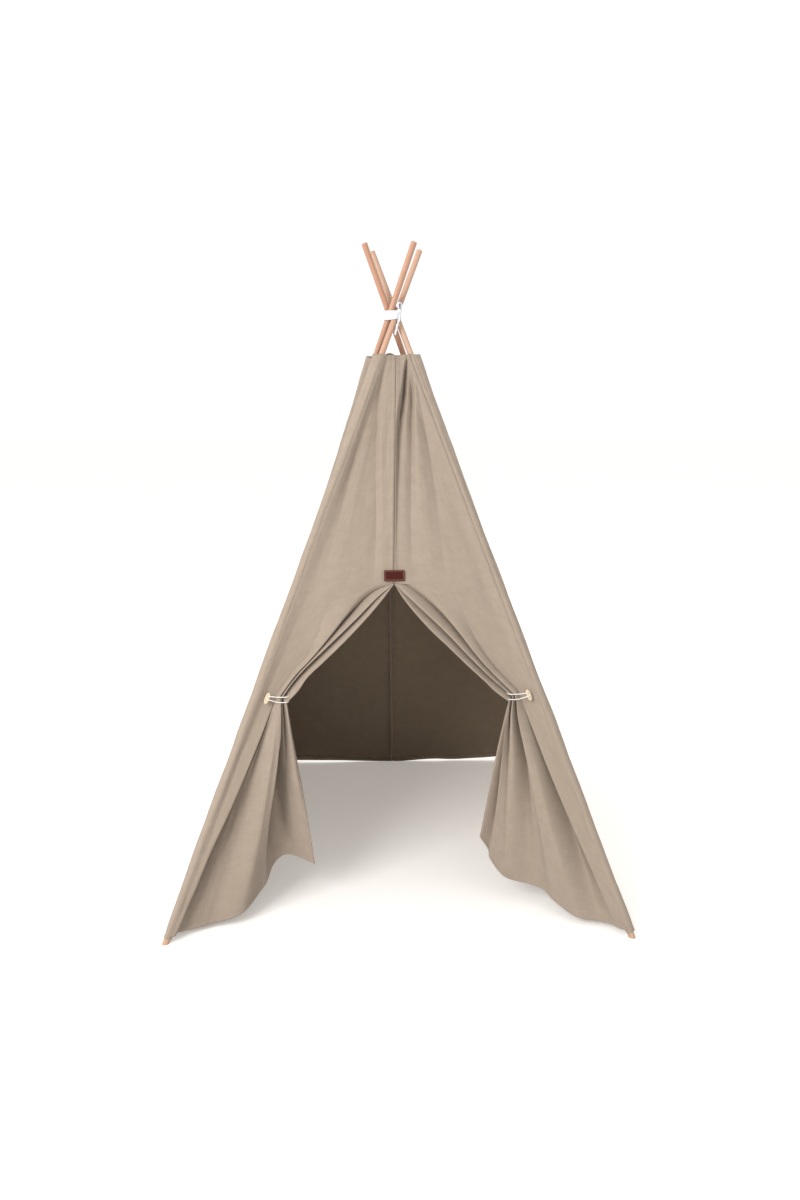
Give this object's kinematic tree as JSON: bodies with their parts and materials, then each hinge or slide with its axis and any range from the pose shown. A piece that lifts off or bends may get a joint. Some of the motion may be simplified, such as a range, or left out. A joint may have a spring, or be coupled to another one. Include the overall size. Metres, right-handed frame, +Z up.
{
  "type": "play tent",
  "caption": "Child's pyramid play tent: sectional wooden poles lashed at the top, canvas cover with sleeves, and a front door with tied-back flaps.",
  "frame": {"origin": "on the floor, midway between the four pole feet, under the crossing", "axes": "+Z up, the door faces -Y, +X to the right of someone who looks at the door"},
  "size_m": [1.1016, 1.1016, 1.5932],
  "materials": {
    "pole_wood": "smooth bare pine",
    "coupler_metal": "thin zinc-plated tube",
    "canvas": "plain woven natural cotton canvas",
    "tape": "white cotton twill tape",
    "cord": "twisted white cotton cord",
    "toggle_wood": "pale varnished wood",
    "label": "bare brown imitation leather"
  },
  "bodies": {
    "lashing": {"lashing_tape": "tape", "lashing_knot": "tape", "lashing_loop": "tape", "lashing_tail": "tape"},
    "pole_front_left": {"pole_front_left_lower": "pole_wood", "pole_front_left_middle": "pole_wood", "pole_front_left_upper": "pole_wood", "coupler_front_left_lower": "coupler_metal", "coupler_front_left_upper": "coupler_metal", "sleeve_front_left": "canvas"},
    "pole_front_right": {"pole_front_right_lower": "pole_wood", "pole_front_right_middle": "pole_wood", "pole_front_right_upper": "pole_wood", "coupler_front_right_lower": "coupler_metal", "coupler_front_right_upper": "coupler_metal", "sleeve_front_right": "canvas"},
    "pole_back_right": {"pole_back_right_lower": "pole_wood", "pole_back_right_middle": "pole_wood", "pole_back_right_upper": "pole_wood", "coupler_back_right_lower": "coupler_metal", "coupler_back_right_upper": "coupler_metal", "sleeve_back_right": "canvas"},
    "pole_back_left": {"pole_back_left_lower": "pole_wood", "pole_back_left_middle": "pole_wood", "pole_back_left_upper": "pole_wood", "coupler_back_left_lower": "coupler_metal", "coupler_back_left_upper": "coupler_metal", "sleeve_back_left": "canvas"},
    "front_wall": {"front_panel_left": "canvas", "front_panel_right": "canvas", "tieback_cord_left": "cord", "tieback_cord_right": "cord", "door_label": "label"},
    "back_wall": {"back_panel_left": "canvas", "back_panel_right": "canvas"},
    "left_wall": {"side_panel_left": "canvas"},
    "right_wall": {"side_panel_right": "canvas"},
    "toggle_left": {"toggle_left": "toggle_wood"},
    "toggle_right": {"toggle_right": "toggle_wood"}
  },
  "joints": [
    {"name": "fold_front_left", "type": "hinge", "parent": "lashing", "child": "pole_front_left", "pos_m": [0.00828, -0.00828, 1.427], "axis": [0.7071, -0.7071, 0], "range_deg": [0, 22.5], "deforming": ["front_panel_left", "front_panel_right", "back_panel_left", "back_panel_right", "side_panel_left", "side_panel_right", "tieback_cord_left", "tieback_cord_right"]},
    {"name": "fold_front_right", "type": "hinge", "parent": "lashing", "child": "pole_front_right", "pos_m": [0.00828, 0.00828, 1.427], "axis": [0.7071, 0.7071, 0], "range_deg": [0, 22.5]},
    {"name": "fold_back_right", "type": "hinge", "parent": "lashing", "child": "pole_back_right", "pos_m": [-0.00828, 0.00828, 1.427], "axis": [-0.7071, 0.7071, 0], "range_deg": [0, 22.5]},
    {"name": "fold_back_left", "type": "hinge", "parent": "lashing", "child": "pole_back_left", "pos_m": [-0.00828, -0.00828, 1.427], "axis": [-0.7071, -0.7071, 0], "range_deg": [0, 22.5]},
    {"name": "fold_front_wall", "type": "hinge", "parent": "lashing", "child": "front_wall", "pos_m": [0, 0, 1.427], "axis": [1, 0, 0], "range_deg": [0, 16.9]},
    {"name": "fold_back_wall", "type": "hinge", "parent": "lashing", "child": "back_wall", "pos_m": [0, 0, 1.427], "axis": [-1, 0, 0], "range_deg": [0, 16.9]},
    {"name": "fold_left_wall", "type": "hinge", "parent": "lashing", "child": "left_wall", "pos_m": [0, 0, 1.427], "axis": [0, -1, 0], "range_deg": [0, 16.9]},
    {"name": "fold_right_wall", "type": "hinge", "parent": "lashing", "child": "right_wall", "pos_m": [0, 0, 1.427], "axis": [0, 1, 0], "range_deg": [0, 16.9]},
    {"name": "toggle_left_rock", "type": "hinge", "parent": "pole_front_left", "child": "toggle_left", "pos_m": [-0.30265, -0.35559, 0.52294], "axis": [0.3312, 0.3312, 0.8835], "range_deg": [-35, 35]},
    {"name": "toggle_right_rock", "type": "hinge", "parent": "pole_front_right", "child": "toggle_right", "pos_m": [0.31945, -0.34045, 0.52294], "axis": [-0.3311, 0.3222, 0.8869], "range_deg": [-35, 35]}
  ],
  "couplings": [
    {"joint": "fold_front_right", "follows": "fold_front_left", "ratio": 1},
    {"joint": "fold_back_right", "follows": "fold_front_left", "ratio": 1},
    {"joint": "fold_back_left", "follows": "fold_front_left", "ratio": 1},
    {"joint": "fold_front_wall", "follows": "fold_front_left", "ratio": 0.7424},
    {"joint": "fold_back_wall", "follows": "fold_front_left", "ratio": 0.7424},
    {"joint": "fold_left_wall", "follows": "fold_front_left", "ratio": 0.7424},
    {"joint": "fold_right_wall", "follows": "fold_front_left", "ratio": 0.7424}
  ]
}
